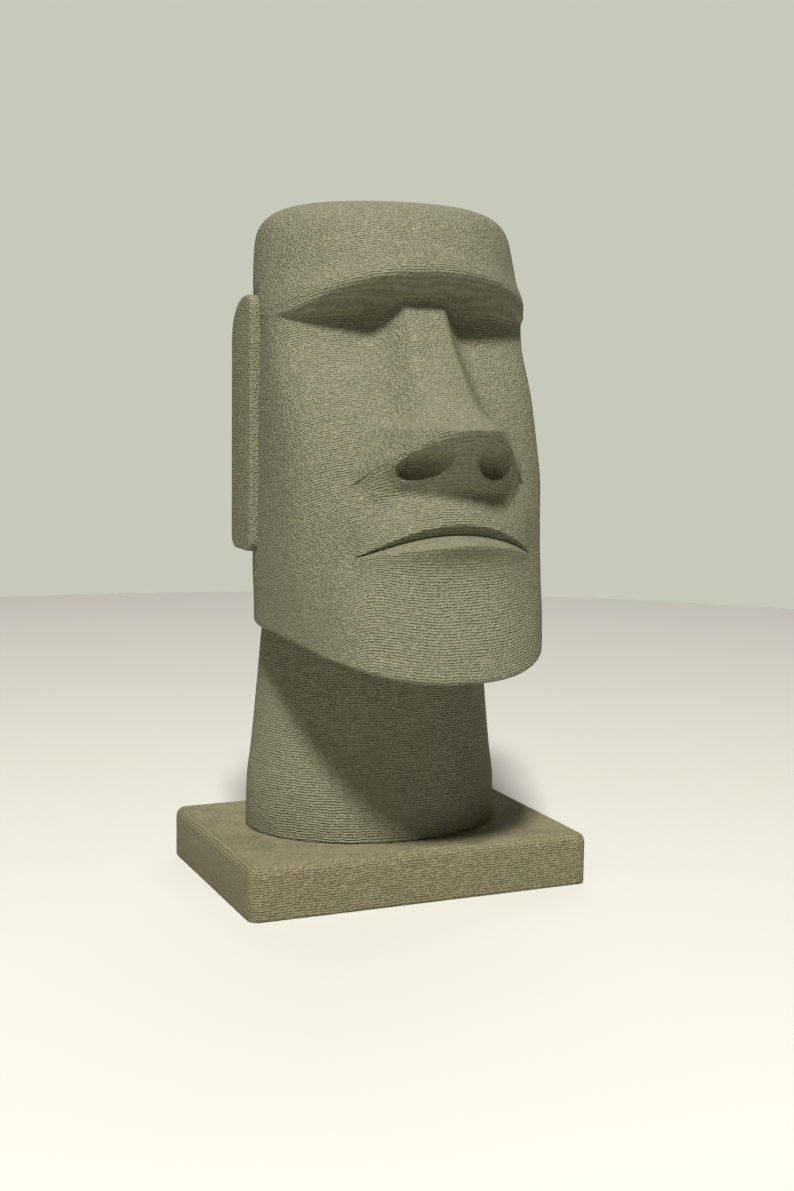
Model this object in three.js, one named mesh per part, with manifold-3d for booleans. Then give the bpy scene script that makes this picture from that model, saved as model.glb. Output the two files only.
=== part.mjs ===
// A moai head statue on a low rounded plinth.
// Millimetres, +Z up. The face looks along -Y and the origin is the centre of the plinth's underside.

import * as THREE from 'three';
import { ParametricGeometry } from 'three/addons/geometries/ParametricGeometry.js';
import { mergeVertices } from 'three/addons/utils/BufferGeometryUtils.js';
import Module from 'manifold-3d';

const wasm = await Module();
wasm.setup();

// Plinth.
const PLINTH_WIDTH = 100;
const PLINTH_DEPTH = 71;
const PLINTH_HEIGHT = 14.5;
const PLINTH_CORNER_RADIUS = 3.0;
const PLINTH_TOP_RADIUS = 2.7;
const PLINTH_FOOT_RADIUS = 0.7;

// Figure: the head, the neck and both ears.
const FIGURE_HEIGHT = 173.5;
const JOINT_GAP = 0.3;

// Ears, as slabs standing off the sides of the head. The root is the share of the head's half width
// at which they start inside it.
const EAR_HEIGHT = 69;
const EAR_DEPTH = 16.4;
const EAR_STAND_OFF = 2.8;
const EAR_CORNER_RADIUS = 3.5;
const EAR_TOP_BACK_RADIUS = 12;
const EAR_BEVEL = 0.9;
const EAR_ROOT = 0.8;

// The carving is laid out in shares of the figure's height: every size from here to the neck is a
// thousandth of that height, and heights start at the neck's foot.
const THOUSANDTH = FIGURE_HEIGHT / 1000;
const CROWN = 1000;
const EAR_FRONT = -25.4;
const EAR_BOTTOM = 455.3;
const HEAD_HALF_WIDTH = 215;
const HEAD_BACK = 164.3;
const BACK_POWER = 2.0;
const JAW_TILT = 0.178;
const JAW_FRONT_RADIUS = 9.2;
const JAW_SIDE_RADIUS = 28.8;

// Levels of the head from jaw to crown, each given where it crosses the middle of the face.
// height: above the neck's foot. front and middle: places along Y of the face and of the widest point.
// half: half width. power: 2 is an ellipse, more is squarer. arch: how far the level falls at the sides,
// and fall: how late it does so.
const LEVELS = [
  { height: 285.3, front: -342.9, middle: -28.8, half: 215, power: 2.35, arch: -46.7, fall: 2.6 },
  { height: 406.3, front: -311.2, middle: -28.8, half: 215.6, power: 2.65, arch: 34.6, fall: 2.2 },
  { height: 481.3, front: -292.8, middle: -28.8, half: 216.7, power: 2.8, arch: 92.2, fall: 2 },
  { height: 596.5, front: -264, middle: -28.8, half: 217.9, power: 3.2, arch: 167.1, fall: 2 },
  { height: 648.4, front: -237.5, middle: -28.8, half: 217.9, power: 3.7, arch: 149.9, fall: 2 },
  { height: 683, front: -213.3, middle: -28.8, half: 217.3, power: 4.3, arch: 103.7, fall: 2 },
  { height: 729.1, front: -172.9, middle: -28.8, half: 216.7, power: 4.3, arch: 40.3, fall: 2 },
  { height: 792.5, front: -130.3, middle: -28.8, half: 215, power: 3.5, arch: 9.2, fall: 2 },
  { height: 821.3, front: -123.9, middle: -28.8, half: 215, power: 3.5, arch: 11.5, fall: 2.4 },
  { height: 883, front: -199.4, middle: -28.8, half: 216.1, power: 2.2, arch: 55.3, fall: 2.4 },
  { height: 889.9, front: -201.7, middle: -26.5, half: 216.1, power: 2.2, arch: 56.5, fall: 2.4 },
  { height: 913.5, front: -192.5, middle: -8.1, half: 213.3, power: 2.0, arch: 34.6, fall: 2.4 },
  { height: 942.4, front: -178.7, middle: 3.5, half: 208.6, power: 2.0, arch: 0, fall: 2.4 },
  { height: CROWN, front: -167.1, middle: 0, half: 207.5, power: 2.0, arch: 0, fall: 2.4 },
];

// Crown: the flat top rounds off over this height.
const CROWN_ROUNDING = 100.9;
const CROWN_POWER = 3.8;
const CROWN_START = 11.5;

// Nose: a flat-fronted ridge that flares into two wings over an undercut base.
const NOSE_TOP = { height: 849.6, front: -155.6 };
const NOSE_TIP = { height: 657.1, front: -353.3 };
const SWEEP = { middle: 0.32, tip: 0.18, power: 16 };
const RIDGE_HALF_WIDTH = 34;
const RIDGE_HALF_WIDTH_LOW = 48.4;
const WING_HALF_WIDTH = 117;
const WING_START = 680.1;
const WING_HEIGHT = 596.5;
const WING_DROP = 63.4;
const TIP_CURVE = 0.00694;
const BASE_CURVE = 0.00425;
const BASE_UNDERCUT = 1.3;
const WING_UNDERCUT = 1.35;
const RIDGE_WIDENS_FROM = 795.4;
const EDGE_ROUNDS_FROM = 778.1;
const RIDGE_SLOPE = 1.8;
const WING_SLOPE = 1.4;
const RIDGE_EDGE = 4.6;
const WING_EDGE = 17.3;
const BASE_EDGE = 6.9;
const NOSTRIL = { side: 56.5, height: 607.5, length: 38, width: 24.2, depth: 37.5, turn: -0.4 };

// Widths over which the nose blends into the lip below it, the cheek above and the cheek beside it.
const LIP_BLEND = 9.2;
const CHEEK_BLEND = 28.8;
const WING_BLEND = 51.9;
const WING_BLEND_START = 63.4;

// Mouth: three arched lines that meet at the corners.
const MOUTH_HALF_WIDTH = 142.9;
const UPPER_LIP = { height: 517, curve: 0.00238, proud: 15 };
const SLIT = { height: 500.9, curve: 0.00165, proud: 0.6 };
const LOWER_LIP = { height: 488.2, curve: 0.00118, proud: 33.4 };
const LIP_GAP = 1.7;
const MUZZLE_HEIGHT = 51.9;
const CHIN_HOLLOW = 28.8;

// Soft hollows on both sides of the face: beside the corners of the mouth and under the nose's wings.
const HOLLOWS = [
  { side: 144.1, height: 472.6, depth: 9.2, reach: 46.1 },
  { side: 92.2, height: 559.1, depth: 13.8, reach: 46.1 },
];

// Lines across the face that its rings of facets follow: each falls away from the middle by its curve.
// The first and the last fade into the head's own levels.
const NOSE_FOOT = 576.4;
const LINE_FADE = 57.6;
const EDGE_STEP = 4;
const CARVED_LINES = [
  { height: 415, curve: 0.000867 },
  LOWER_LIP,
  SLIT,
  UPPER_LIP,
  { height: NOSE_FOOT, curve: 0.00312 },
  { height: NOSE_TIP.height, curve: BASE_CURVE },
  { height: 737.8, curve: 0.000867 },
];

// Neck: an ellipse that narrows upwards, from its foot to inside the jaw.
const NECK_TOP = 380.4;
const NECK_LEVELS = [
  { height: 0, half: 213.8, front: 171.8, back: 144.1, middle: 26.5 },
  { height: 69.2, half: 212.1, front: 168.3, back: 144.1, middle: 28.2 },
  { height: 126.8, half: 205.2, front: 162.5, back: 140.6, middle: 29.4 },
  { height: 207.5, half: 197.1, front: 155.6, back: 136, middle: 29.4 },
  { height: NECK_TOP, half: 182.1, front: 144.1, back: 126.8, middle: 29.4 },
];

// Facets.
const FRONT_COLUMNS = 50;
const NOSE_COLUMNS = 6;
const BACK_COLUMNS = 12;
const NECK_COLUMNS = 40;
const NECK_ROWS = 7;
const CROWN_RINGS = 9;
const CORNER_STEPS = 6;
const FILLET_STEPS = 4;

const smoothstep = THREE.MathUtils.smoothstep;
const clamp = THREE.MathUtils.clamp;
const lerp = THREE.MathUtils.lerp;

// A smooth monotone curve through the named value of each level.
function curveThrough(levels, name) {
  const steps = levels.slice(1).map((level, i) => level.height - levels[i].height);
  const slopes = steps.map((step, i) => (levels[i + 1][name] - levels[i][name]) / step);
  const tangents = levels.map((level, i) => {
    if (i === 0) return slopes[0];
    if (i === slopes.length) return slopes[i - 1];
    const before = slopes[i - 1];
    const after = slopes[i];
    return before * after <= 0 ? 0 : (2 * before * after) / (before + after);
  });
  return (height) => {
    const at = clamp(height, levels[0].height, levels.at(-1).height);
    let i = 0;
    while (i < steps.length - 1 && at > levels[i + 1].height) i += 1;
    const t = (at - levels[i].height) / steps[i];
    const rise = levels[i + 1][name] - levels[i][name];
    const bendIn = (tangents[i] * steps[i] - rise) * t * (1 - t) ** 2;
    const bendOut = (rise - tangents[i + 1] * steps[i]) * t ** 2 * (1 - t);
    return levels[i][name] + rise * t + bendIn + bendOut;
  };
}

// The lower of two values, blended over a width.
function softMin(a, b, width) {
  const overlap = Math.max(width - Math.abs(a - b), 0) / width;
  return Math.min(a, b) - (overlap * overlap * width) / 4;
}

function softMax(a, b, width) {
  return -softMin(-a, -b, width);
}

// Rises from zero at an angle, with the start rounded over a width.
function softRamp(value, width) {
  return softMax(value, 0, width);
}

const level = {
  front: curveThrough(LEVELS, 'front'),
  middle: curveThrough(LEVELS, 'middle'),
  half: curveThrough(LEVELS, 'half'),
  power: curveThrough(LEVELS, 'power'),
  arch: curveThrough(LEVELS, 'arch'),
  fall: curveThrough(LEVELS, 'fall'),
};

const carvedCurve = curveThrough(CARVED_LINES, 'curve');

const JAW = LEVELS[0].height;
const BROW_CREASE = 821.3;
const BROW_EDGE = 886.5;
const SPREAD_LIMIT = 0.8;
const SPREAD_FADE = 0.2;
const NOSE_EDGE_LIMIT = 0.7;
const HALVINGS = 24;

// The ridge's front along the middle of the nose: straight below the brow, then swept out to the tip.
function ridgeFront(height) {
  const t = clamp((NOSE_TOP.height - height) / (NOSE_TOP.height - NOSE_TIP.height), 0, 1);
  const sweep = (1 - SWEEP.middle - SWEEP.tip) * t + SWEEP.middle * t ** 3 + SWEEP.tip * t ** SWEEP.power;
  return lerp(NOSE_TOP.front, NOSE_TIP.front, sweep);
}

// Half width of the nose's front at a height.
function noseHalfWidth(height) {
  const low = smoothstep(-height, -RIDGE_WIDENS_FROM, -NOSE_TIP.height);
  const ridge = lerp(RIDGE_HALF_WIDTH, RIDGE_HALF_WIDTH_LOW, low);
  const flare = clamp((WING_START - height) / (WING_START - WING_HEIGHT), 0, 1) ** 1.5;
  const below = clamp((WING_HEIGHT - height) / WING_DROP, 0, 1);
  const wing = lerp(ridge, WING_HALF_WIDTH, flare);
  return wing * Math.sqrt(1 - below * below);
}

// The nose's front surface as a place along Y.
function nosePlace(x, height) {
  const side = Math.abs(x);
  const low = smoothstep(-height, -EDGE_ROUNDS_FROM, -NOSE_TIP.height);
  const slope = lerp(RIDGE_SLOPE, WING_SLOPE, low);
  const edge = lerp(RIDGE_EDGE, WING_EDGE, low);
  const over = ridgeFront(height) + TIP_CURVE * low * side * side;
  const front = over + slope * softRamp(side - noseHalfWidth(height), edge);
  const edgeHeight = NOSE_TIP.height - BASE_CURVE * side * side;
  const outward = clamp(side / WING_HALF_WIDTH, 0, 1) ** 2;
  const undercut = lerp(BASE_UNDERCUT, WING_UNDERCUT, outward);
  const base = NOSE_TIP.front + TIP_CURVE * side * side + (edgeHeight - height) / undercut;
  return softMax(front, base, lerp(BASE_EDGE, WING_EDGE, outward));
}

function nostrilDepth(side, height) {
  const across = side - NOSTRIL.side;
  const up = height - NOSTRIL.height;
  const along = across * Math.cos(NOSTRIL.turn) + up * Math.sin(NOSTRIL.turn);
  const over = -across * Math.sin(NOSTRIL.turn) + up * Math.cos(NOSTRIL.turn);
  const reach = 1 - (along / NOSTRIL.length) ** 2 - (over / NOSTRIL.width) ** 2;
  return reach <= 0 ? 0 : NOSTRIL.depth * reach ** 0.8;
}

// How far the mouth stands proud of the face.
function mouthProud(x, height) {
  const side = Math.abs(x);
  const share = clamp(1 - (side / MOUTH_HALF_WIDTH) ** 2, 0, 1);
  const upper = UPPER_LIP.height - UPPER_LIP.curve * side * side;
  const slit = SLIT.height - SLIT.curve * side * side;
  const lower = Math.min(LOWER_LIP.height - LOWER_LIP.curve * side * side, slit - LIP_GAP);
  const upperProud = UPPER_LIP.proud * Math.sqrt(share);
  const lowerProud = LOWER_LIP.proud * share;
  const lips = lipsProud(height, [upper, slit, lower], [upperProud, SLIT.proud * share, lowerProud]);
  return HOLLOWS.reduce((proud, hollow) => {
    const away = Math.hypot(side - hollow.side, height - hollow.height) / hollow.reach;
    return proud - hollow.depth * Math.exp(-away * away);
  }, lips);
}

// The lips in section: a muzzle over the upper line, a shelf down to the lower one, a hollow below it.
function lipsProud(height, [upper, slit, lower], [upperProud, slitProud, lowerProud]) {
  if (height >= upper) return upperProud * Math.exp(-(((height - upper) / MUZZLE_HEIGHT) ** 2));
  if (height >= slit) return lerp(slitProud, upperProud, (height - slit) / (upper - slit));
  if (height >= lower) return lerp(lowerProud, slitProud, (height - lower) / (slit - lower));
  return lowerProud * Math.exp(-(((lower - height) / CHIN_HOLLOW) ** 1.3));
}

// The jaw's lower edge is crisp under the chin and rounds off towards the sides and the back.
function jawInset(turn, height) {
  const radius = turn > 1 ? JAW_SIDE_RADIUS
    : lerp(JAW_FRONT_RADIUS, JAW_SIDE_RADIUS, smoothstep(Math.abs(turn), 0.6, 1));
  const below = clamp(1 - (height - JAW) / radius, 0, 1);
  return radius * (1 - Math.sqrt(1 - below * below));
}

// Fraction by which the level shrinks towards the flat crown.
function crownShare(height) {
  const rise = clamp((height - (CROWN - CROWN_ROUNDING)) / CROWN_ROUNDING, 0, 1);
  return Math.max(1 - rise ** CROWN_POWER, 0) ** (1 / CROWN_POWER);
}

// Height of a level at a share of its half width: it falls, or rises, away from the middle.
function levelHeight(height, side) {
  return height - level.arch(height) * Math.abs(side) ** level.fall(height);
}

// The value between two limits up to which a test holds.
function lastWhere(test, low, high) {
  for (let i = 0; i < HALVINGS; i += 1) {
    const middle = (low + high) / 2;
    if (test(middle)) low = middle;
    else high = middle;
  }
  return low;
}

// Height of a ring of facets at a share of the half width: it keeps to the lines of the carving
// across the face and to the levels at the sides.
function ringHeight(height, side) {
  const first = CARVED_LINES[0].height;
  const last = CARVED_LINES.at(-1).height;
  const within = smoothstep(height, first, first + LINE_FADE) * (1 - smoothstep(height, last - LINE_FADE, last));
  const across = 1 - smoothstep(Math.abs(side), SPREAD_LIMIT - SPREAD_FADE, SPREAD_LIMIT);
  const lineHeight = height - carvedCurve(height) * (side * level.half(height)) ** 2;
  return lerp(levelHeight(height, side), lineHeight, within * across);
}

// Share of the half width at which a ring crosses the edge of the nose's front.
function noseEdge(height) {
  return lastWhere((side) => side * level.half(height) < noseHalfWidth(ringHeight(height, side)),
    0, NOSE_EDGE_LIMIT);
}

// Sideways place of a column over the face: the columns gather along the edges of the nose.
function columnPlace(turn, height) {
  const side = Math.abs(Math.sin((turn * Math.PI) / 2));
  if (side >= SPREAD_LIMIT) return Math.sign(turn) * side;
  const even = Math.sin((Math.PI * NOSE_COLUMNS) / FRONT_COLUMNS);
  const beside = smoothstep(height, WING_HEIGHT - WING_DROP, WING_HEIGHT - WING_DROP / 2);
  const under = smoothstep(height, BROW_CREASE, BROW_EDGE);
  const edge = lerp(lerp(even, noseEdge(height), beside), even, under);
  const warped = side <= even
    ? (side * edge) / even
    : lerp(edge, SPREAD_LIMIT, (side - even) / (SPREAD_LIMIT - even));
  return Math.sign(turn) * warped;
}

// A point of the face on one ring of facets, at a share of its half width.
function facePoint(side, height, inset) {
  const z = ringHeight(height, side);
  const at = lastWhere((lower) => levelHeight(lower, side) < z, JAW, CROWN);
  const shrink = crownShare(at) * (1 - inset / level.half(at));
  const power = level.power(at);
  const x = level.half(at) * shrink * side;
  const reach = Math.max(1 - Math.abs(side) ** power, 0) ** (1 / power);
  const face = level.middle(at) - (level.middle(at) - level.front(at)) * reach * shrink - mouthProud(x, z);
  const up = smoothstep(z, WING_HEIGHT - WING_DROP / 2, WING_HEIGHT + WING_DROP / 2);
  const upper = lerp(LIP_BLEND, CHEEK_BLEND, up);
  const outer = WING_BLEND * smoothstep(Math.abs(x), WING_BLEND_START, WING_HALF_WIDTH);
  const withNose = softMin(face, nosePlace(x, z), Math.max(upper, outer)) + nostrilDepth(Math.abs(x), z);
  return new THREE.Vector3(x, at < BROW_EDGE ? withNose : face, z);
}

// A point of the head on one ring. turn runs from -1 to 1 over the face and on to 3 round the back.
function headPoint(turn, height) {
  if (turn <= 1) return facePoint(columnPlace(turn, height), height, jawInset(turn, height));
  const middle = level.middle(height);
  const half = level.half(height);
  const shrink = crownShare(height) * (1 - jawInset(turn, height) / half);
  const sideHeight = height - level.arch(height);
  const angle = ((turn - 1) * Math.PI) / 2;
  const x = half * shrink * Math.sign(Math.cos(angle)) * Math.abs(Math.cos(angle)) ** (2 / BACK_POWER);
  const depth = (HEAD_BACK - middle) * Math.sin(angle) ** (2 / BACK_POWER);
  const jawBack = JAW - LEVELS[0].arch + JAW_TILT * (HEAD_BACK - LEVELS[0].middle);
  const backHeight = lerp(jawBack, CROWN, (height - JAW) / (CROWN - JAW));
  const z = lerp(sideHeight, backHeight, (1 - Math.cos(2 * angle)) / 2);
  return new THREE.Vector3(x, middle + depth * shrink, z);
}

// Level heights of the head's rings, closer together where the carving turns.
function ringHeights() {
  const bands = [
    [JAW, JAW + JAW_FRONT_RADIUS / 3, 1],
    [JAW + JAW_FRONT_RADIUS / 3, JAW + JAW_FRONT_RADIUS, 2],
    [JAW + JAW_FRONT_RADIUS, CARVED_LINES[0].height, 5],
    [CARVED_LINES[0].height, LOWER_LIP.height, 6],
    [LOWER_LIP.height, SLIT.height, 3],
    [SLIT.height, UPPER_LIP.height, 3],
    [UPPER_LIP.height, NOSE_FOOT, 5],
    [NOSE_FOOT, NOSE_TIP.height - EDGE_STEP, 7],
    [NOSE_TIP.height - EDGE_STEP, NOSE_TIP.height + EDGE_STEP, 2],
    [NOSE_TIP.height + EDGE_STEP, BROW_CREASE, 10],
    [BROW_CREASE, BROW_EDGE - EDGE_STEP, 4],
    [BROW_EDGE - EDGE_STEP, BROW_EDGE + EDGE_STEP, 1],
    [BROW_EDGE + EDGE_STEP, CROWN - CROWN_ROUNDING + CROWN_START, 1],
  ];
  const heights = bands.flatMap(([from, to, steps]) =>
    Array.from({ length: steps }, (unused, i) => lerp(from, to, i / steps)));
  const first = Math.asin((CROWN_START / CROWN_ROUNDING) ** (CROWN_POWER / 2));
  const crown = Array.from({ length: CROWN_RINGS }, (unused, i) => {
    const rise = Math.sin(lerp(first, Math.PI / 2, i / CROWN_RINGS)) ** (2 / CROWN_POWER);
    return CROWN - CROWN_ROUNDING + CROWN_ROUNDING * rise;
  });
  return [...heights, ...crown];
}

// A closed skin of rings between two poles.
function skin(rings, columns, place) {
  const surface = (u, v, target) => target.copy(place(Math.round(u * columns) % columns, Math.round(v * rings)));
  return new ParametricGeometry(surface, columns, rings);
}

// A solid from a closed geometry, for joining and cutting.
function solid(geometry) {
  const bare = geometry.clone();
  bare.deleteAttribute('normal');
  bare.deleteAttribute('uv');
  const merged = mergeVertices(bare, 1e-4);
  const corners = merged.index.array;
  const faces = [];
  for (let i = 0; i < corners.length; i += 3) {
    const [a, b, c] = corners.subarray(i, i + 3);
    if (a !== b && b !== c && c !== a) faces.push(a, b, c);
  }
  const vertProperties = new Float32Array(merged.attributes.position.array);
  return new wasm.Manifold(new wasm.Mesh({ numProp: 3, vertProperties, triVerts: new Uint32Array(faces) }));
}

function toGeometry(body) {
  const { vertProperties, triVerts } = body.getMesh();
  const geometry = new THREE.BufferGeometry();
  geometry.setAttribute('position', new THREE.BufferAttribute(new Float32Array(vertProperties), 3));
  geometry.setIndex(new THREE.BufferAttribute(new Uint32Array(triVerts), 1));
  geometry.computeVertexNormals();
  return geometry;
}

function skull() {
  const heights = ringHeights();
  const columns = FRONT_COLUMNS + BACK_COLUMNS;
  const rings = heights.length + 1;
  const turnAt = (column) => (column <= FRONT_COLUMNS
    ? (2 * column) / FRONT_COLUMNS - 1
    : 1 + (2 * (column - FRONT_COLUMNS)) / BACK_COLUMNS);
  const underside = new THREE.Vector3(0, LEVELS[0].middle, JAW - LEVELS[0].arch);
  const top = new THREE.Vector3(0, LEVELS.at(-1).middle, CROWN);
  return skin(rings, columns, (column, ring) => {
    if (ring === 0) return underside;
    if (ring === rings) return top;
    return headPoint(turnAt(column), heights[ring - 1]);
  });
}

function neck() {
  const half = curveThrough(NECK_LEVELS, 'half');
  const front = curveThrough(NECK_LEVELS, 'front');
  const back = curveThrough(NECK_LEVELS, 'back');
  const middle = curveThrough(NECK_LEVELS, 'middle');
  const foot = JOINT_GAP / THOUSANDTH;
  const rings = NECK_ROWS + 2;
  return skin(rings, NECK_COLUMNS, (column, ring) => {
    const height = lerp(foot, NECK_TOP, clamp((ring - 1) / NECK_ROWS, 0, 1));
    if (ring === 0 || ring === rings) return new THREE.Vector3(0, middle(height), height);
    const angle = (2 * Math.PI * column) / NECK_COLUMNS - Math.PI / 2;
    const depth = Math.sin(angle) < 0 ? front(height) : back(height);
    return new THREE.Vector3(
      half(height) * Math.cos(angle), middle(height) + depth * Math.sin(angle), height);
  });
}

// One ear: a slab with one large rounded corner, its outline drawn in the YZ plane.
function ear(hand) {
  const front = EAR_FRONT * THOUSANDTH;
  const bottom = EAR_BOTTOM * THOUSANDTH;
  const back = front + EAR_DEPTH;
  const top = bottom + EAR_HEIGHT;
  const outline = new THREE.Shape();
  const inset = EAR_BEVEL;
  const small = EAR_CORNER_RADIUS - inset;
  const large = EAR_TOP_BACK_RADIUS - inset;
  outline.moveTo(front + inset + small, bottom + inset);
  outline.absarc(back - inset - small, bottom + inset + small, small, -Math.PI / 2, 0);
  outline.absarc(back - inset - large, top - inset - large, large, 0, Math.PI / 2);
  outline.absarc(front + inset + small, top - inset - small, small, Math.PI / 2, Math.PI);
  outline.absarc(front + inset + small, bottom + inset + small, small, Math.PI, (3 * Math.PI) / 2);
  const side = HEAD_HALF_WIDTH * THOUSANDTH;
  const root = side * EAR_ROOT;
  const outer = side + EAR_STAND_OFF;
  const slab = new THREE.ExtrudeGeometry(outline, {
    depth: outer - root - 2 * EAR_BEVEL,
    bevelThickness: EAR_BEVEL,
    bevelSize: EAR_BEVEL,
    bevelSegments: 3,
    curveSegments: CORNER_STEPS,
  });
  slab.translate(0, 0, hand > 0 ? root + EAR_BEVEL : EAR_BEVEL - outer);
  const place = new THREE.Matrix4().makeBasis(
    new THREE.Vector3(0, 1, 0), new THREE.Vector3(0, 0, 1), new THREE.Vector3(1, 0, 0));
  return slab.applyMatrix4(place);
}

function figure() {
  const grow = new THREE.Matrix4().makeScale(THOUSANDTH, THOUSANDTH, THOUSANDTH);
  const carved = solid(skull().applyMatrix4(grow)).add(solid(neck().applyMatrix4(grow)));
  const whole = carved.add(solid(ear(-1))).add(solid(ear(1)));
  return toGeometry(whole.translate(0, 0, PLINTH_HEIGHT));
}

// The plinth's outline at an inset: straight sides between four rounded corners.
function plinthPoint(column, inset, z) {
  const perCorner = CORNER_STEPS + 1;
  const corner = Math.floor(column / perCorner);
  const angle = ((corner + (column % perCorner) / CORNER_STEPS) * Math.PI) / 2;
  const radius = PLINTH_CORNER_RADIUS - inset;
  const signX = corner === 0 || corner === 3 ? 1 : -1;
  const signY = corner < 2 ? 1 : -1;
  return new THREE.Vector3(
    signX * (PLINTH_WIDTH / 2 - PLINTH_CORNER_RADIUS) + radius * Math.cos(angle),
    signY * (PLINTH_DEPTH / 2 - PLINTH_CORNER_RADIUS) + radius * Math.sin(angle),
    z);
}

function plinth() {
  const columns = 4 * (CORNER_STEPS + 1);
  const fillet = (radius, step) => {
    const angle = (step / FILLET_STEPS) * (Math.PI / 2);
    return { inset: radius * (1 - Math.cos(angle)), rise: radius * Math.sin(angle) };
  };
  const steps = Array.from({ length: FILLET_STEPS + 1 }, (unused, i) => i);
  const foot = steps.map((i) => fillet(PLINTH_FOOT_RADIUS, FILLET_STEPS - i))
    .map(({ inset, rise }) => ({ inset, z: PLINTH_FOOT_RADIUS - rise }));
  const head = steps.map((i) => fillet(PLINTH_TOP_RADIUS, i))
    .map(({ inset, rise }) => ({ inset, z: PLINTH_HEIGHT - PLINTH_TOP_RADIUS + rise }));
  const profile = [...foot, ...head];
  const rings = profile.length + 1;
  return skin(rings, columns, (column, ring) => {
    if (ring === 0) return new THREE.Vector3(0, 0, 0);
    if (ring === rings) return new THREE.Vector3(0, 0, PLINTH_HEIGHT);
    return plinthPoint(column, profile[ring - 1].inset, profile[ring - 1].z);
  });
}

function named(name, geometry) {
  const material = new THREE.MeshStandardMaterial({ color: 0x8c8a70, roughness: 0.85, metalness: 0 });
  const mesh = new THREE.Mesh(geometry, material);
  mesh.name = name;
  return mesh;
}

const statue = new THREE.Group();
statue.name = 'moai_statue';
statue.add(named('plinth', toGeometry(solid(plinth()))));
statue.add(named('head', figure()));

export default statue;
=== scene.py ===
import math

import bmesh
import bpy
import numpy as np
from mathutils import Matrix, Vector


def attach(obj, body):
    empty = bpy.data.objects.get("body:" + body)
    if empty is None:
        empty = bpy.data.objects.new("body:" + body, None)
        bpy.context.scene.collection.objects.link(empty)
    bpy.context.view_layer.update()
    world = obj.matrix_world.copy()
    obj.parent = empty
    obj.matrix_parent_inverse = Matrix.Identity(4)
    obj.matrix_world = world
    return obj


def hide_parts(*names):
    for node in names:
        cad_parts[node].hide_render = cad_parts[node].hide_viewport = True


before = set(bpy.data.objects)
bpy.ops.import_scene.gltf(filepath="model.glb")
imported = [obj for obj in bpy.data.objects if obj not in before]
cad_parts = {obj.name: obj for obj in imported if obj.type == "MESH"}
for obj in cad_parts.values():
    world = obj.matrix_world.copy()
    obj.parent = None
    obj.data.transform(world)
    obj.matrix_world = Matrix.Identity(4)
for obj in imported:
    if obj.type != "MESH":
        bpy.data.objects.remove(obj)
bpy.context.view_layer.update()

# A moai head statue on a low rounded plinth. Sizes are millimetres, made metres as pieces are finished.
# The face looks along -Y, +Z is up, and the origin is the centre of the plinth's underside.
MILLIMETRE = 0.001

# Plinth.
PLINTH_WIDTH = 100
PLINTH_DEPTH = 71
PLINTH_HEIGHT = 14.5
PLINTH_CORNER_RADIUS = 3.0
PLINTH_TOP_RADIUS = 2.7
PLINTH_FOOT_RADIUS = 0.7

# Figure: its height above the plinth, and the gap under the neck.
FIGURE_HEIGHT = 173.5
JOINT_GAP = 0.3

# Ears, as slabs that start inside the head at the root. Heights are above the neck's foot.
EAR_FRONT = -4.4
EAR_BOTTOM = 79
EAR_HEIGHT = 69
EAR_DEPTH = 16.4
EAR_STAND_OFF = 2.8
EAR_ROOT = 30
EAR_CORNER_RADIUS = 3.5
EAR_TOP_BACK_RADIUS = 12
EAR_BEVEL = 0.9

# Head.
HEAD_HALF_WIDTH = 37.3
HEAD_BACK = 28.5
JAW_TILT = 0.178
JAW_FRONT_RADIUS = 1.6
JAW_SIDE_RADIUS = 5
JAW_ROUNDS_FROM = 0.6

# Levels of the head from jaw to crown, each given where it crosses the middle of the face. Heights are
# above the neck's foot. Front and middle are places along Y of the face and of the widest point. A power
# of 2 is an ellipse, and more is squarer. A level falls towards the sides by its arch, late if its fall
# is high.
LEVELS = {
    "height": [49.5, 70.5, 83.5, 103.5, 112.5, 118.5, 126.5,
               137.5, 142.5, 153.2, 154.4, 158.5, 163.5, FIGURE_HEIGHT],
    "front": [-59.5, -54, -50.8, -45.8, -41.2, -37, -30, -22.6, -21.5, -34.6, -35, -33.4, -31, -29],
    "middle": [-5, -5, -5, -5, -5, -5, -5, -5, -5, -5, -4.6, -1.4, 0.6, 0],
    "half": [37.3, 37.4, 37.6, 37.8, 37.8, 37.7, 37.6, 37.3, 37.3, 37.5, 37.5, 37, 36.2, 36],
    "power": [2.35, 2.65, 2.8, 3.2, 3.7, 4.3, 4.3, 3.5, 3.5, 2.2, 2.2, 2, 2, 2],
    "arch": [-8.1, 6, 16, 29, 26, 18, 7, 1.6, 2, 9.6, 9.8, 6, 0, 0],
    "fall": [2.6, 2.2, 2, 2, 2, 2, 2, 2, 2.4, 2.4, 2.4, 2.4, 2.4, 2.4],
}
JAW = LEVELS["height"][0]
BROW_CREASE = 142.5
BROW_EDGE = 153.8
CROWN_ROUNDING = 17.5
CROWN_POWER = 3.8

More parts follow.
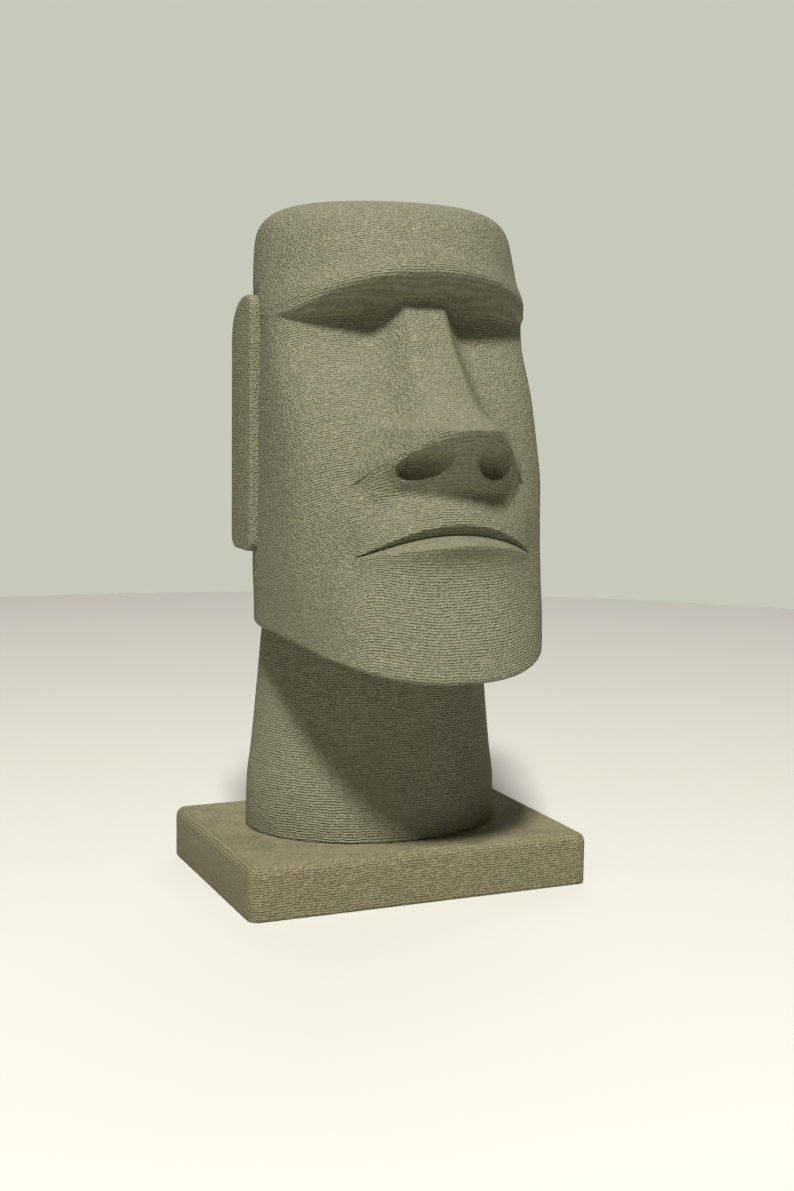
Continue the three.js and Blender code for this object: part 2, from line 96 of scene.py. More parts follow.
# Nose: a flat-fronted ridge that is swept out to its tip and flares into two wings over an undercut base.
NOSE_TOP_HEIGHT = 147.4
NOSE_TOP_FRONT = -27
NOSE_TIP_HEIGHT = 114
NOSE_TIP_FRONT = -61.3
NOSE_FOOT = 100
SWEEP = {"even": 0.5, "middle": 0.32, "tip": 0.18, "power": 16}
RIDGE_HALF_WIDTH = 5.9
RIDGE_HALF_WIDTH_LOW = 8.4
RIDGE_WIDENS_FROM = 138
RIDGE_WIDENS_TO = 115
EDGE_ROUNDS_FROM = 135
RIDGE_SLOPE = 1.8
RIDGE_EDGE = 0.8
WING_HALF_WIDTH = 20.3
WING_START = 118
WING_HEIGHT = 103.5
WING_DROP = 11
WING_FLARE = 1.5
WING_SLOPE = 1.4
WING_EDGE = 3
TIP_CURVE = 0.04
BASE_CURVE = 0.0245
BASE_EDGE = 1.2
BASE_UNDERCUT = 1.3
WING_UNDERCUT = 1.35
NOSTRIL = {"side": 9.8, "height": 105.4, "length": 6.6, "width": 4.2,
           "depth": 6.5, "turn": -0.4, "power": 0.8}

# Widths over which the nose blends into the lip below it, the cheek above and the cheek beside it, and
# the heights and the side between which they change.
LIP_BLEND = 1.6
CHEEK_BLEND = 5
CHEEK_FROM = WING_HEIGHT - 5
CHEEK_TO = WING_HEIGHT + 7
WING_BLEND = 9
WING_BLEND_START = 11

# Mouth: three arched lines that meet at the corners, with a fine groove along the slit.
MOUTH_HALF_WIDTH = 24.8
UPPER_LIP = {"height": 89.7, "curve": 0.0137, "proud": 2.6}
SLIT = {"height": 86.9, "curve": 0.0095, "proud": 0.1}
LOWER_LIP = {"height": 84.7, "curve": 0.0068, "proud": 5.8}
LIP_GAP = 0.3
GROOVE_DEPTH = 0.5
GROOVE_WIDTH = 0.3
GROOVE_FADE = 0.25
MUZZLE_HEIGHT = 9
CHIN_HOLLOW = 5
CHIN_POWER = 1.3

# Soft hollows on both sides of the face: beside the corners of the mouth and under the nose's wings.
HOLLOWS = [
    {"side": 25, "height": 82, "depth": 1.6, "reach": 8},
    {"side": 16, "height": 97, "depth": 2.4, "reach": 8},
]

# Lines across the face that its rings of faces follow: each falls away from the middle by its curve.
# The lowest and the highest fade into the head's own levels.
CARVED_LINES = {
    "height": [72, LOWER_LIP["height"], SLIT["height"], UPPER_LIP["height"],
               NOSE_FOOT, NOSE_TIP_HEIGHT, 128],
    "curve": [0.005, LOWER_LIP["curve"], SLIT["curve"], UPPER_LIP["curve"], 0.018, BASE_CURVE, 0.005],
}
LOWEST_LINE_FADE = 8
HIGHEST_LINE_FADE = 12

# Columns of faces spread from the nose's edges to this share of the half width.
SPREAD_LIMIT = 0.8
SPREAD_FADE = 0.2
NOSE_EDGE_LIMIT = 0.7
HALVINGS = 24

# Neck: an ellipse that narrows upwards, from its foot to inside the jaw.
NECK_TOP = 66
NECK_LEVELS = {
    "height": [0, 12, 22, 36, NECK_TOP],
    "half": [37.1, 36.8, 35.6, 34.2, 31.6],
    "front": [29.8, 29.2, 28.2, 27, 25],
    "back": [25, 25, 24.4, 23.6, 22],
    "middle": [4.6, 4.9, 5.1, 5.1, 5.1],
}

# Faces. The steps are distances over which rings gather about an edge.
FACE_COLUMNS = 220
NOSE_COLUMNS = 28
BACK_COLUMNS = 50
NECK_COLUMNS = 160
NECK_RINGS = 32
CROWN_RINGS = 30
CROWN_START = 2
JAW_EDGE_STEP = 0.5
JAW_STEP = 2
TIP_STEP = 2
UNDER_CREASE_STEP = 4
OVER_CREASE_STEP = 3
BROW_STEP = 1.2
SHARP_ANGLE = math.radians(50)

# How near a corner is to a plane that it lies on, and how straight an edge is that runs along an axis.
NEAR = 0.01
STRAIGHT = 0.99


def blend(start, end, share):
    return start + (end - start) * share


def smooth_step(value, low, high):
    share = np.clip((value - low) / (high - low), 0, 1)
    return share * share * (3 - 2 * share)


def soft_min(a, b, width):
    """The lower of two values, blended over a width."""
    overlap = np.maximum(width - np.abs(a - b), 0) / width
    return np.minimum(a, b) - overlap * overlap * width / 4


def soft_max(a, b, width):
    return -soft_min(-a, -b, width)


def curve_through(stations, name):
    """A smooth curve that doesn't overshoot, through the named value of each station."""
    at = np.array(stations["height"], float)
    value = np.array(stations[name], float)
    steps = np.diff(at)
    slopes = np.diff(value) / steps
    before, after = slopes[:-1], slopes[1:]
    same_way = before * after > 0
    inner = np.where(same_way, 2 * before * after / np.where(same_way, before + after, 1), 0)
    tangents = np.concatenate([slopes[:1], inner, slopes[-1:]])

    def curve(height):
        clipped = np.clip(height, at[0], at[-1])
        i = np.clip(np.searchsorted(at, clipped, side="right") - 1, 0, len(steps) - 1)
        t = (clipped - at[i]) / steps[i]
        rise = value[i + 1] - value[i]
        bend_in = (tangents[i] * steps[i] - rise) * t * (1 - t) ** 2
        bend_out = (rise - tangents[i + 1] * steps[i]) * t ** 2 * (1 - t)
        return value[i] + rise * t + bend_in + bend_out

    return curve


level = {name: curve_through(LEVELS, name) for name in LEVELS if name != "height"}
neck_level = {name: curve_through(NECK_LEVELS, name) for name in NECK_LEVELS if name != "height"}
carved_curve = curve_through(CARVED_LINES, "curve")


def last_where(test, low, high):
    """The values between two limits up to which a test holds, found by halving."""
    for _ in range(HALVINGS):
        middle = (low + high) / 2
        holds = test(middle)
        low = np.where(holds, middle, low)
        high = np.where(holds, high, middle)
    return low


def ridge_front(height):
    """The ridge's front along the middle of the nose: straight below the brow, then swept to the tip."""
    t = np.clip((NOSE_TOP_HEIGHT - height) / (NOSE_TOP_HEIGHT - NOSE_TIP_HEIGHT), 0, 1)
    sweep = SWEEP["even"] * t + SWEEP["middle"] * t ** 3 + SWEEP["tip"] * t ** SWEEP["power"]
    return blend(NOSE_TOP_FRONT, NOSE_TIP_FRONT, sweep)


def nose_half_width(height):
    """Half width of the nose's front."""
    low = smooth_step(-height, -RIDGE_WIDENS_FROM, -RIDGE_WIDENS_TO)
    ridge = blend(RIDGE_HALF_WIDTH, RIDGE_HALF_WIDTH_LOW, low)
    flare = np.clip((WING_START - height) / (WING_START - WING_HEIGHT), 0, 1) ** WING_FLARE
    below = np.clip((WING_HEIGHT - height) / WING_DROP, 0, 1)
    return blend(ridge, WING_HALF_WIDTH, flare) * np.sqrt(1 - below * below)


def nostril_depth(side, height):
    """Depth of a nostril: a turned oval hollow."""
    across = side - NOSTRIL["side"]
    up = height - NOSTRIL["height"]
    turn = NOSTRIL["turn"]
    along = across * math.cos(turn) + up * math.sin(turn)
    over = -across * math.sin(turn) + up * math.cos(turn)
    reach = 1 - (along / NOSTRIL["length"]) ** 2 - (over / NOSTRIL["width"]) ** 2
    return NOSTRIL["depth"] * np.maximum(reach, 0) ** NOSTRIL["power"]


def nose_place(x, height):
    """The nose's surface as places along Y: a flat-fronted ridge over an undercut base."""
    side = np.abs(x)
    low = smooth_step(-height, -EDGE_ROUNDS_FROM, -NOSE_TIP_HEIGHT)
    slope = blend(RIDGE_SLOPE, WING_SLOPE, low)
    edge = blend(RIDGE_EDGE, WING_EDGE, low)
    over = ridge_front(height) + TIP_CURVE * low * side * side
    front = over + slope * soft_max(side - nose_half_width(height), 0, edge)
    edge_height = NOSE_TIP_HEIGHT - BASE_CURVE * side * side
    outward = np.clip(side / WING_HALF_WIDTH, 0, 1) ** 2
    undercut = blend(BASE_UNDERCUT, WING_UNDERCUT, outward)
    base = NOSE_TIP_FRONT + TIP_CURVE * side * side + (edge_height - height) / undercut
    return soft_max(front, base, blend(BASE_EDGE, WING_EDGE, outward))


def mouth_proud(x, height):
    """How far the mouth stands proud of the face: three arched lines that meet at the corners."""
    side = np.abs(x)
    share = np.clip(1 - (side / MOUTH_HALF_WIDTH) ** 2, 0, 1)
    upper = UPPER_LIP["height"] - UPPER_LIP["curve"] * side * side
    slit = SLIT["height"] - SLIT["curve"] * side * side
    lower = np.minimum(LOWER_LIP["height"] - LOWER_LIP["curve"] * side * side, slit - LIP_GAP)
    upper_proud = UPPER_LIP["proud"] * np.sqrt(share)
    slit_proud = SLIT["proud"] * share
    lower_proud = LOWER_LIP["proud"] * share
    muzzle = upper_proud * np.exp(-((height - upper) / MUZZLE_HEIGHT) ** 2)
    shelf = blend(slit_proud, upper_proud, (height - slit) / (upper - slit))
    lip = blend(lower_proud, slit_proud, (height - lower) / (slit - lower))
    under = lower_proud * np.exp(-(np.maximum(lower - height, 0) / CHIN_HOLLOW) ** CHIN_POWER)
    proud = np.select([height >= upper, height >= slit, height >= lower], [muzzle, shelf, lip], under)
    proud = proud - GROOVE_DEPTH * np.exp(-((height - slit) / GROOVE_WIDTH) ** 2) * share ** GROOVE_FADE
    for hollow in HOLLOWS:
        away = np.hypot(side - hollow["side"], height - hollow["height"]) / hollow["reach"]
        proud = proud - hollow["depth"] * np.exp(-away * away)
    return proud


def jaw_inset(turn, height):
    """The jaw's lower edge is crisp under the chin and rounds off towards the sides and the back."""
    aside = smooth_step(np.abs(turn), JAW_ROUNDS_FROM, 1)
    radius = np.where(turn > 1, JAW_SIDE_RADIUS, blend(JAW_FRONT_RADIUS, JAW_SIDE_RADIUS, aside))
    below = np.clip(1 - (height - JAW) / radius, 0, 1)
    return radius * (1 - np.sqrt(1 - below * below))


def crown_share(height):
    """Fraction by which a level shrinks towards the flat crown."""
    rise = np.clip((height - (FIGURE_HEIGHT - CROWN_ROUNDING)) / CROWN_ROUNDING, 0, 1)
    return np.maximum(1 - rise ** CROWN_POWER, 0) ** (1 / CROWN_POWER)


def level_height(height, side):
    """Height of a level at a share of its half width."""
    return height - level["arch"](height) * np.abs(side) ** level["fall"](height)


def ring_height(height, side):
    """Height of a ring of faces: along the carved lines on the face, and along the levels beside it."""
    first, last = CARVED_LINES["height"][0], CARVED_LINES["height"][-1]
    above = smooth_step(height, first, first + LOWEST_LINE_FADE)
    within = above * (1 - smooth_step(height, last - HIGHEST_LINE_FADE, last))
    across = 1 - smooth_step(np.abs(side), SPREAD_LIMIT - SPREAD_FADE, SPREAD_LIMIT)
    line_height = height - carved_curve(height) * (side * level["half"](height)) ** 2
    return blend(level_height(height, side), line_height, within * across)


def nose_edge(height):
    """Share of the half width at which a ring crosses the edge of the nose's front."""
    return last_where(
        lambda side: side * level["half"](height) < nose_half_width(ring_height(height, side)),
        np.zeros_like(height), np.full_like(height, NOSE_EDGE_LIMIT))


def column_place(turn, height):
    """Sideways place of a column over the face: the columns gather along the edges of the nose."""
    side = np.abs(np.sin(turn * math.pi / 2))
    even = math.sin(math.pi * NOSE_COLUMNS / FACE_COLUMNS)
    beside = smooth_step(height, WING_HEIGHT - WING_DROP, WING_HEIGHT - WING_DROP / 2)
    under = smooth_step(height, BROW_CREASE, BROW_EDGE)
    edge = blend(blend(even, nose_edge(height), beside), even, under)
    inner = side * edge / even
    outer = blend(edge, SPREAD_LIMIT, (side - even) / (SPREAD_LIMIT - even))
    warped = np.where(side >= SPREAD_LIMIT, side, np.where(side <= even, inner, outer))
    return np.sign(turn) * warped


def face_points(turn, height):
    """Points of the face. The turn runs from -1 to 1, from one side of the head to the other."""
    side = column_place(turn, height)
    z = ring_height(height, side)
    at = last_where(lambda lower: level_height(lower, side) < z,
                    np.full_like(z, JAW), np.full_like(z, FIGURE_HEIGHT))
    half, middle, power = level["half"](at), level["middle"](at), level["power"](at)
    shrink = crown_share(at) * (1 - jaw_inset(turn, height) / half)
    x = half * shrink * side
    reach = np.maximum(1 - np.abs(side) ** power, 0) ** (1 / power)
    face = middle - (middle - level["front"](at)) * reach * shrink - mouth_proud(x, z)
    upper = blend(LIP_BLEND, CHEEK_BLEND, smooth_step(z, CHEEK_FROM, CHEEK_TO))
    outer = WING_BLEND * smooth_step(np.abs(x), WING_BLEND_START, WING_HALF_WIDTH)
    with_nose = soft_min(face, nose_place(x, z), np.maximum(upper, outer)) + nostril_depth(np.abs(x), z)
    return np.stack([x, np.where(at < BROW_EDGE, with_nose, face), z], axis=-1)


def back_points(turn, height):
    """Points of the back. The turn runs on from 1 to 3, round from one side of the face to the other."""
    middle, half = level["middle"](height), level["half"](height)
    shrink = crown_share(height) * (1 - jaw_inset(turn, height) / half)
    angle = (turn - 1) * math.pi / 2
    jaw_back = JAW - LEVELS["arch"][0] + JAW_TILT * (HEAD_BACK - LEVELS["middle"][0])
    back_height = blend(jaw_back, FIGURE_HEIGHT, (height - JAW) / (FIGURE_HEIGHT - JAW))
    side_height = height - level["arch"](height)
    x = half * shrink * np.cos(angle)
    y = middle + (HEAD_BACK - middle) * np.sin(angle) * shrink
    z = blend(side_height, back_height, (1 - np.cos(2 * angle)) / 2)
    return np.stack([x, y, z], axis=-1)


def ring_heights():
    """Heights of the head's rings, closer together where the carving turns.

    A band is the height where it starts and its number of rings.
    """
    bands = [
        (JAW, 6),
        (JAW + JAW_EDGE_STEP, 7),
        (JAW + JAW_STEP, 22),
        (CARVED_LINES["height"][0], 24),
        (LOWER_LIP["height"], 9),
        (SLIT["height"], 10),
        (UPPER_LIP["height"], 18),
        (NOSE_FOOT, 26),
        (NOSE_TIP_HEIGHT - TIP_STEP, 12),
        (NOSE_TIP_HEIGHT + TIP_STEP, 38),
        (BROW_CREASE - UNDER_CREASE_STEP, 16),
        (BROW_CREASE + OVER_CREASE_STEP, 14),
        (BROW_EDGE - BROW_STEP, 10),
        (BROW_EDGE + BROW_STEP, 6),
    ]
    starts = [start for start, steps in bands]
    ends = starts[1:] + [FIGURE_HEIGHT - CROWN_ROUNDING + CROWN_START]
    below = [np.linspace(start, end, steps, endpoint=False) for (start, steps), end in zip(bands, ends)]
    first = math.asin((CROWN_START / CROWN_ROUNDING) ** (CROWN_POWER / 2))
    angles = np.linspace(first, math.pi / 2, CROWN_RINGS, endpoint=False)
    crown = FIGURE_HEIGHT - CROWN_ROUNDING + CROWN_ROUNDING * np.sin(angles) ** (2 / CROWN_POWER)
    return np.concatenate([*below, crown])


def new_piece(name, mesh_maker):
    """An object at the origin from a bmesh in millimetres above the plinth's underside."""
    shape = bmesh.new()
    mesh_maker(shape)
    bmesh.ops.scale(shape, vec=(MILLIMETRE,) * 3, verts=shape.verts)
    mesh = bpy.data.meshes.new(name)
    shape.to_mesh(mesh)
    shape.free()
    piece = bpy.data.objects.new(name, mesh)
    bpy.context.scene.collection.objects.link(piece)
    return piece


def make_skull(shape):
    """The head without neck and ears: a sphere's rings and columns, each moved to its place."""
    heights = ring_heights()
    columns = FACE_COLUMNS + BACK_COLUMNS
    rings = len(heights) + 1
    bmesh.ops.create_uvsphere(shape, u_segments=columns, v_segments=rings, radius=1)
    ball = np.array([v.co for v in shape.verts])
    ring = np.rint(np.arccos(np.clip(-ball[:, 2], -1, 1)) / math.pi * rings).astype(int)
    column = np.rint(np.arctan2(ball[:, 1], ball[:, 0]) / (2 * math.pi) * columns).astype(int) % columns
    turn = np.where(column <= FACE_COLUMNS, 2 * column / FACE_COLUMNS - 1,
                    1 + 2 * (column - FACE_COLUMNS) / BACK_COLUMNS)
    height = heights[np.clip(ring - 1, 0, len(heights) - 1)]
    face = face_points(np.minimum(turn, 1), height)
    place = np.where((turn <= 1)[:, None], face, back_points(turn, height))
    place[ring == 0] = (0, LEVELS["middle"][0], JAW - LEVELS["arch"][0])
    place[ring == rings] = (0, LEVELS["middle"][-1], FIGURE_HEIGHT)
    for vert, (x, y, z) in zip(shape.verts, place):
        vert.co = (x, y, z + PLINTH_HEIGHT)


def make_neck(shape):
    """The neck: a cylinder cut into rings, each drawn out to its own ellipse."""
    height = NECK_TOP - JOINT_GAP
    bmesh.ops.create_cone(shape, cap_ends=True, segments=NECK_COLUMNS,
                          radius1=1, radius2=1, depth=height)
    for i in range(1, NECK_RINGS):
        z = -height / 2 + height * i / NECK_RINGS
        geometry = shape.verts[:] + shape.edges[:] + shape.faces[:]
        bmesh.ops.bisect_plane(shape, geom=geometry, plane_co=(0, 0, z), plane_no=(0, 0, 1))
    for vert in shape.verts:
        x, y, z = vert.co
        z = z + height / 2 + JOINT_GAP
        depth = neck_level["front"](z) if y < 0 else neck_level["back"](z)
        vert.co = (x * neck_level["half"](z), neck_level["middle"](z) + y * depth, z + PLINTH_HEIGHT)


def bevel(shape, edges, radius, segments):
    bmesh.ops.bevel(shape, geom=edges, offset=radius, offset_type="OFFSET", segments=segments,
                    profile=0.5, affect="EDGES", material=-1)


def edges_along(shape, axis):
    """Edges that run along one axis, 0 for X, 1 for Y, 2 for Z."""
    return [e for e in shape.edges
            if abs((e.verts[0].co - e.verts[1].co).normalized()[axis]) > STRAIGHT]


def make_ear(shape):
    """The right ear: a slab with one large rounded corner at the top and back."""
    outer = HEAD_HALF_WIDTH + EAR_STAND_OFF
    size = Vector((outer - EAR_ROOT, EAR_DEPTH, EAR_HEIGHT))
    low = Vector((EAR_ROOT, EAR_FRONT, EAR_BOTTOM + PLINTH_HEIGHT))
    bmesh.ops.create_cube(shape, size=1)
    bmesh.ops.scale(shape, vec=size, verts=shape.verts)
    bmesh.ops.translate(shape, vec=low + size / 2, verts=shape.verts)
    middle = low + size / 2
    corners = edges_along(shape, 0)
    top_back = [e for e in corners if e.verts[0].co.y > middle.y and e.verts[0].co.z > middle.z]
    bevel(shape, [e for e in corners if e not in top_back], EAR_CORNER_RADIUS, segments=8)
    back, top = low.y + size.y - NEAR, low.z + size.z - NEAR
    top_back = [e for e in edges_along(shape, 0) if e.verts[0].co.y > back and e.verts[0].co.z > top]
    bevel(shape, top_back, EAR_TOP_BACK_RADIUS, segments=20)
    rim = [e for e in shape.edges if all(v.co.x > outer - NEAR for v in e.verts)]
    bevel(shape, rim, EAR_BEVEL, segments=5)


def make_plinth(shape):
    """A block with round corners, a soft top edge and a slightly broken foot."""
    bmesh.ops.create_cube(shape, size=1)
    bmesh.ops.scale(shape, vec=(PLINTH_WIDTH, PLINTH_DEPTH, PLINTH_HEIGHT), verts=shape.verts)
    bmesh.ops.translate(shape, vec=(0, 0, PLINTH_HEIGHT / 2), verts=shape.verts)
    bevel(shape, edges_along(shape, 2), PLINTH_CORNER_RADIUS, segments=10)
    top = [e for e in shape.edges if all(v.co.z > PLINTH_HEIGHT - NEAR for v in e.verts)]
    bevel(shape, top, PLINTH_TOP_RADIUS, segments=8)
    foot = [e for e in shape.edges if all(v.co.z < NEAR for v in e.verts)]
    bevel(shape, foot, PLINTH_FOOT_RADIUS, segments=4)


def make_sharp_edges(piece):
    """Smooth shading, except across edges that turn by more than a limit."""
    shape = bmesh.new()
    shape.from_mesh(piece.data)
    for face in shape.faces:
        face.smooth = True
    for edge in shape.edges:
        edge.smooth = edge.is_manifold and edge.calc_face_angle() < SHARP_ANGLE
    shape.to_mesh(piece.data)
    shape.free()


def join_into(piece, others):
    """Unites solids into one, and removes the ones that were joined."""
    for other in others:
        union = piece.modifiers.new("union", "BOOLEAN")
        union.operation = "UNION"
        union.solver = "MANIFOLD"
        union.material_mode = "INDEX"
        union.object = other
    bpy.context.view_layer.update()
    joined = bpy.data.meshes.new_from_object(piece.evaluated_get(bpy.context.evaluated_depsgraph_get()))
    piece.modifiers.clear()
    piece.data = joined
    for other in others:
        bpy.data.objects.remove(other)


class Value:
    """A number socket, so that the maths of nodes can be written as expressions."""

    def __init__(self, maker, socket):
        self.maker = maker
        self.socket = socket

    def __add__(self, other):
        return self.maker.number("ADD", self, other)

    def __radd__(self, other):
        return self.maker.number("ADD", other, self)

    def __sub__(self, other):
        return self.maker.number("SUBTRACT", self, other)

    def __rsub__(self, other):
        return self.maker.number("SUBTRACT", other, self)

    def __mul__(self, other):
        return self.maker.number("MULTIPLY", self, other)

    def __rmul__(self, other):
        return self.maker.number("MULTIPLY", other, self)

    def __truediv__(self, other):
        return self.maker.number("DIVIDE", self, other)

    def __pow__(self, other):
        return self.maker.number("POWER", self, other)

    def __abs__(self):
        return self.maker.number("ABSOLUTE", self)


class Nodes:
    """The nodes of a material or a world, and the few ways in which they are made."""

    def __init__(self, owner, coordinates, scale):
        owner.use_nodes = True
        self.nodes = owner.node_tree.nodes
        self.links = owner.node_tree.links
        place = self.node("ShaderNodeTexCoord").outputs[coordinates]
        self.place = self.node("ShaderNodeVectorMath", {"operation": "SCALE"},
                               {0: place, "Scale": scale}).outputs[0]
        split = self.node("ShaderNodeSeparateXYZ", {}, {0: self.place})
        self.x, self.y, self.z = (Value(self, split.outputs[i]) for i in range(3))

    def node(self, kind, settings=None, inputs=None):
        """A node of a kind, with its settings made first and then its sockets set or linked."""
        made = self.nodes.new(kind)
        for name, value in (settings or {}).items():
            setattr(made, name, value)
        for name, value in (inputs or {}).items():
            self.feed(made.inputs[name], value)
        return made

    def feed(self, socket, value):
        if isinstance(value, Value):
            value = value.socket
        if isinstance(value, bpy.types.NodeSocket):
            self.links.new(value, socket)
        else:
            socket.default_value = value

    def number(self, operation, *values):
        made = self.node("ShaderNodeMath", {"operation": operation}, dict(enumerate(values)))
        return Value(self, made.outputs[0])

    def ramp(self, value, low, high):
        """From 0 to 1 as a value goes from low to high, smooth at both ends."""
        made = self.node("ShaderNodeMapRange", {"interpolation_type": "SMOOTHSTEP"},
                         {"Value": value, "From Min": low, "From Max": high})
        return Value(self, made.outputs["Result"])

    def noise(self, size, detail=2, roughness=0.5):
        """Noise from 0 to 1 whose features are about a size across."""
        scaled = self.node("ShaderNodeVectorMath", {"operation": "MULTIPLY"},
                           {0: self.place, 1: [1 / size] * 3}).outputs[0]
        made = self.node("ShaderNodeTexNoise", {}, {
            "Vector": scaled, "Scale": 1, "Detail": detail, "Roughness": roughness})
        return Value(self, made.outputs[0])

    def mix(self, share, first, second):
        """A colour between two."""
        made = self.node("ShaderNodeMix", {"data_type": "RGBA"}, {0: share, 6: first, 7: second})
        return made.outputs[2]


class Finish(Nodes):
    """One material, laid out in millimetres of the object's own coordinates."""

    def __init__(self, name):
        self.material = bpy.data.materials.new(name)
        super().__init__(self.material, "Object", 1 / MILLIMETRE)
        self.shader = self.nodes["Principled BSDF"]


# Print: layers this many millimetres apart, under a pebbled grain. They wander and waver by a number of
# layers over the sizes given here, and fade in places.
LAYER_PITCH = 0.72
WANDER = {"size": 11, "layers": 1.5}
WAVER = {"size": 2.2, "layers": 0.55}
FADE = {"size": 3.5, "low": 0.3, "high": 0.62, "share": 0.55}
GRAIN = {"size": 0.64, "low": 0.28, "high": 0.72}
RELIEF = 0.33

# The colour darkens in the low places of the relief as painted shade in the grooves and pits, and is
# mottled over larger areas.
GROOVE_SHADE_FULL = 0.1
GROOVE_SHADE_NONE = 1.5
MOTTLE = {"size": 26, "share": 0.25}
ROUGHNESS = 0.92
GRAIN_GLOSS = 0.1
SPECULAR = 0.25

# The head's layers rise towards the front, and keep their own height this far before the middle. Those
# across the chin rise towards the sides instead, as the jaw's edge does, up to the mouth and in from the
# cheeks.
LAYER_TILT = 0.48
LEVEL_BEFORE = 52
CHIN_RISE = 8
CHIN_RISE_POWER = 2.6
CHIN_TOP = {"low": 86, "high": 108}
CHIN_SIDE = {"low": 0.5, "high": 0.92}


def printed(name, layer_of, light, dark, lines=0.85, pebbles=1.0):
    """Matte plastic printed in fine wavering layers, with a pebbled grain over them and painted shade in
    their low places.
    """
    finish = Finish(name)
    wander = finish.noise(WANDER["size"], detail=1) * WANDER["layers"]
    waver = finish.noise(WAVER["size"], detail=1) * WAVER["layers"]
    phase = layer_of(finish) / LAYER_PITCH + wander + waver
    ridge = finish.number("SINE", phase * (2 * math.pi)) * 0.5 + 0.5
    fade = finish.ramp(finish.noise(FADE["size"]), FADE["low"], FADE["high"])
    grain = finish.noise(GRAIN["size"], detail=1.5, roughness=0.6)
    grain = finish.ramp(grain, GRAIN["low"], GRAIN["high"])
    height = ridge * (fade * FADE["share"] + (1 - FADE["share"])) * lines + grain * pebbles
    bump = finish.node("ShaderNodeBump", {}, {
        "Strength": 1, "Distance": RELIEF * MILLIMETRE, "Height": height})
    # Painted shade: the colour darkens where the relief is low, in the grooves between layers and the
    # pits of the grain.
    unshaded_share = finish.ramp(height, GROOVE_SHADE_FULL, GROOVE_SHADE_NONE)
    # Random mottling mixed with the painted shade of the grooves.
    mottle_and_groove_shade = finish.noise(MOTTLE["size"]) * MOTTLE["share"] + unshaded_share * (1 - MOTTLE["share"])
    colour = finish.mix(mottle_and_groove_shade, dark, light)
    finish.feed(finish.shader.inputs["Base Color"], colour)
    finish.feed(finish.shader.inputs["Normal"], bump.outputs[0])
    finish.feed(finish.shader.inputs["Roughness"], ROUGHNESS - grain * GRAIN_GLOSS)
    finish.shader.inputs["Specular IOR Level"].default_value = SPECULAR
    return finish.material


def head_layers(finish):
    """Layers that rise towards the front along the sides, and follow the jaw's edge across the chin."""
    tilted = finish.z + (finish.y + LEVEL_BEFORE) * LAYER_TILT
    side = abs(finish.x) / HEAD_HALF_WIDTH
    rising = finish.z - (side ** CHIN_RISE_POWER) * CHIN_RISE
    below = 1 - finish.ramp(finish.z, CHIN_TOP["low"], CHIN_TOP["high"])
    chin = below * (1 - finish.ramp(side, CHIN_SIDE["low"], CHIN_SIDE["high"]))
    return tilted + (rising - tilted) * chin


def level_layers(finish):
    return finish.z


# Colours of the plastic, a little warmer on the plinth as painted warm light bounced up from below.
OLIVE_LIGHT = (0.268, 0.262, 0.178, 1)
OLIVE_DARK = (0.142, 0.138, 0.086, 1)
PLINTH_LIGHT_WARM_BOUNCE = (0.272, 0.246, 0.148, 1)
PLINTH_DARK_WARM_BOUNCE = (0.146, 0.131, 0.071, 1)

head_finish = printed("head_print", head_layers, OLIVE_LIGHT, OLIVE_DARK)
neck_finish = printed("neck_print", level_layers, OLIVE_LIGHT, OLIVE_DARK)
ear_finish = printed("ear_print", level_layers, OLIVE_LIGHT, OLIVE_DARK, lines=0.3, pebbles=1.1)
# The plinth's warmer colours are painted warm bounce light from below.
plinth_finish = printed("plinth_print", level_layers, PLINTH_LIGHT_WARM_BOUNCE, PLINTH_DARK_WARM_BOUNCE, pebbles=1.2)

# The figure: skull with its carving, neck and ears, joined into one solid.
figure = new_piece("moai_head", make_skull)
neck = new_piece("neck", make_neck)
right_ear = new_piece("right_ear", make_ear)
left_ear = new_piece("left_ear", make_ear)
left_ear.data.transform(Matrix.Scale(-1, 4, (1, 0, 0)))
left_ear.data.flip_normals()
for piece in (figure, neck, right_ear, left_ear):
    piece.data.materials.append(head_finish)
    piece.data.materials.append(neck_finish)
    piece.data.materials.append(ear_finish)
for piece, index in ((neck, 1), (right_ear, 2), (left_ear, 2)):
    for face in piece.data.polygons:
        face.material_index = index
join_into(figure, [neck, right_ear, left_ear])
make_sharp_edges(figure)
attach(figure, "root")
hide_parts("head")

plinth = new_piece("moai_plinth", make_plinth)
plinth.data.materials.append(plinth_finish)
make_sharp_edges(plinth)
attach(plinth, "root")
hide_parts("plinth")

# Floor.
FLOOR_RADIUS = 620
FLOOR_COLOUR = (0.64, 0.63, 0.59, 1)
FLOOR_ROUGHNESS = 0.9


def make_floor(shape):
    bmesh.ops.create_circle(shape, cap_ends=True, segments=96, radius=FLOOR_RADIUS)


floor_finish = Finish("floor_paint")
floor_finish.shader.inputs["Base Color"].default_value = FLOOR_COLOUR
floor_finish.shader.inputs["Roughness"].default_value = FLOOR_ROUGHNESS
floor = new_piece("floor", make_floor)
floor.data.materials.append(floor_finish.material)

# Lights, in metres and watts, all turned to the middle of the statue.
AIM = Vector((0, 0, 0.1))


def area_light(name, place, size, power, colour):
    light = bpy.data.lights.new(name, "AREA")
    light.size = size
    light.energy = power
    light.color = colour
    lamp = bpy.data.objects.new(name, light)
    lamp.location = place
    lamp.rotation_euler = (AIM - Vector(place)).to_track_quat("-Z", "Y").to_euler()
    bpy.context.scene.collection.objects.link(lamp)


area_light("key", place=(-0.31, -0.7, 1.18), size=0.16, power=28, colour=(1, 0.985, 0.94))
area_light("back", place=(0.8, 1.3, 1.1), size=1.2, power=6, colour=(1, 0.98, 0.94))
area_light("fill", place=(-1.4, -0.9, 0.6), size=1.4, power=2, colour=(1, 0.95, 0.86))

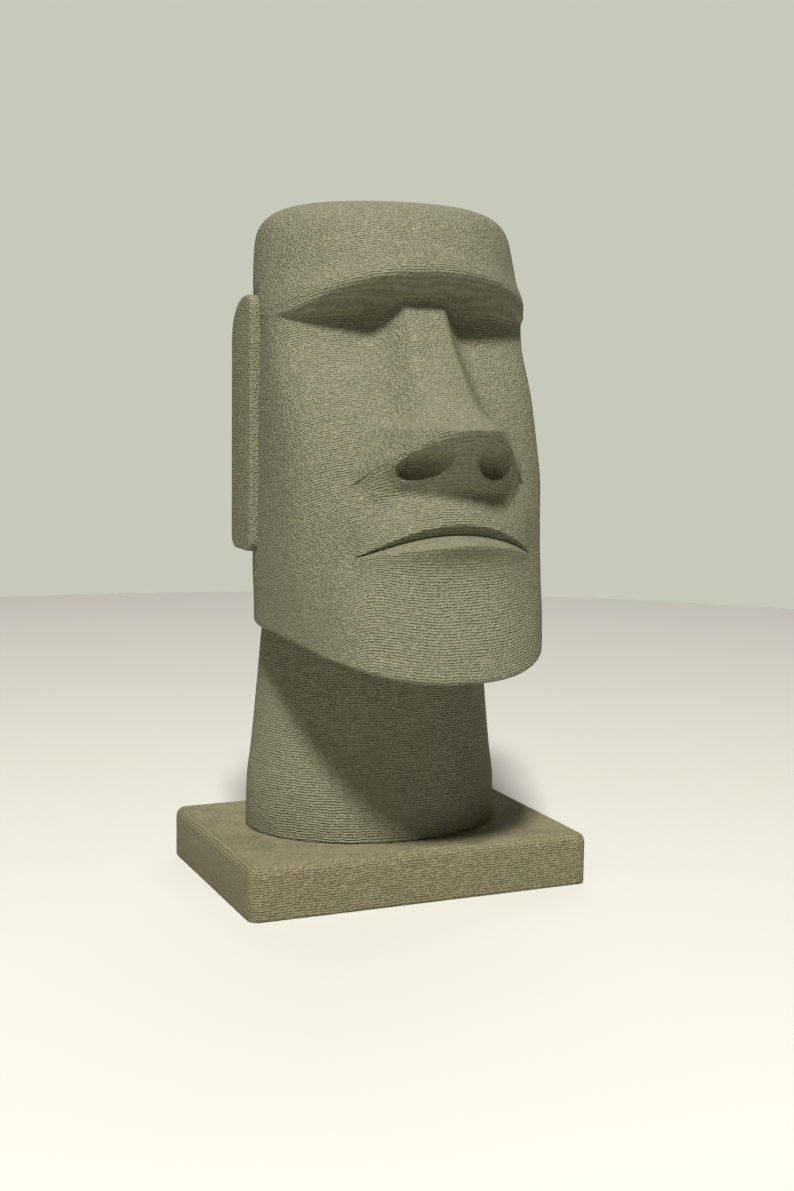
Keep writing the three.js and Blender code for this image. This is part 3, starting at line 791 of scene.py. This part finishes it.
# The studio is dim overhead, pale round the horizon and palest behind the statue. Behind is a direction
# in plan, and the ranges are where each glow fades, on directions of length one.
STUDIO_COLOUR = (0.62, 0.64, 0.54, 1)
OVERHEAD_GLOW = 0.07
HORIZON_GLOW = 0.28
HORIZON_FADE = {"low": 0.2, "high": 0.45}
BACK_GLOW = 0.57
BACK_FADE = {"low": 0.5, "high": 0.95}
BEHIND = Vector((0.4, 0.916))

world = bpy.data.worlds.new("studio")
studio = Nodes(world, "Generated", 1)
towards_back = studio.x * BEHIND.x + studio.y * BEHIND.y
behind = studio.ramp(towards_back, BACK_FADE["low"], BACK_FADE["high"])
horizon = 1 - studio.ramp(abs(studio.z), HORIZON_FADE["low"], HORIZON_FADE["high"])
backdrop = studio.nodes["Background"]
backdrop.inputs["Color"].default_value = STUDIO_COLOUR
glow = behind * BACK_GLOW + horizon * HORIZON_GLOW + OVERHEAD_GLOW
studio.feed(backdrop.inputs["Strength"], glow)
bpy.context.scene.world = world
bpy.context.scene.view_settings.view_transform = "Standard"

# The camera stands to the viewer's left of the face, a little below the brow. Its angles are radians.
CAMERA_PLACE = Vector((-185.5, -435.8, 142.1)) * MILLIMETRE
CAMERA_YAW = math.radians(23.68)
CAMERA_PITCH = math.radians(7.51)
CAMERA_ROLL = 0.0143
FOCAL_LENGTH = 50.87
SENSOR = 36

forward = Vector((math.sin(CAMERA_YAW) * math.cos(CAMERA_PITCH),
                  math.cos(CAMERA_YAW) * math.cos(CAMERA_PITCH), -math.sin(CAMERA_PITCH)))
level_right = Vector((math.cos(CAMERA_YAW), -math.sin(CAMERA_YAW), 0))
level_up = level_right.cross(forward)
right = level_right * math.cos(CAMERA_ROLL) + level_up * math.sin(CAMERA_ROLL)
up = level_up * math.cos(CAMERA_ROLL) - level_right * math.sin(CAMERA_ROLL)
lens = bpy.data.cameras.new("camera")
lens.lens = FOCAL_LENGTH
lens.sensor_width = SENSOR
lens.clip_start = 0.01
lens.clip_end = 20
camera = bpy.data.objects.new("camera", lens)
bpy.context.scene.collection.objects.link(camera)
camera.matrix_world = Matrix((
    (right.x, up.x, -forward.x, CAMERA_PLACE.x),
    (right.y, up.y, -forward.y, CAMERA_PLACE.y),
    (right.z, up.z, -forward.z, CAMERA_PLACE.z),
    (0, 0, 0, 1)))
bpy.context.scene.camera = camera
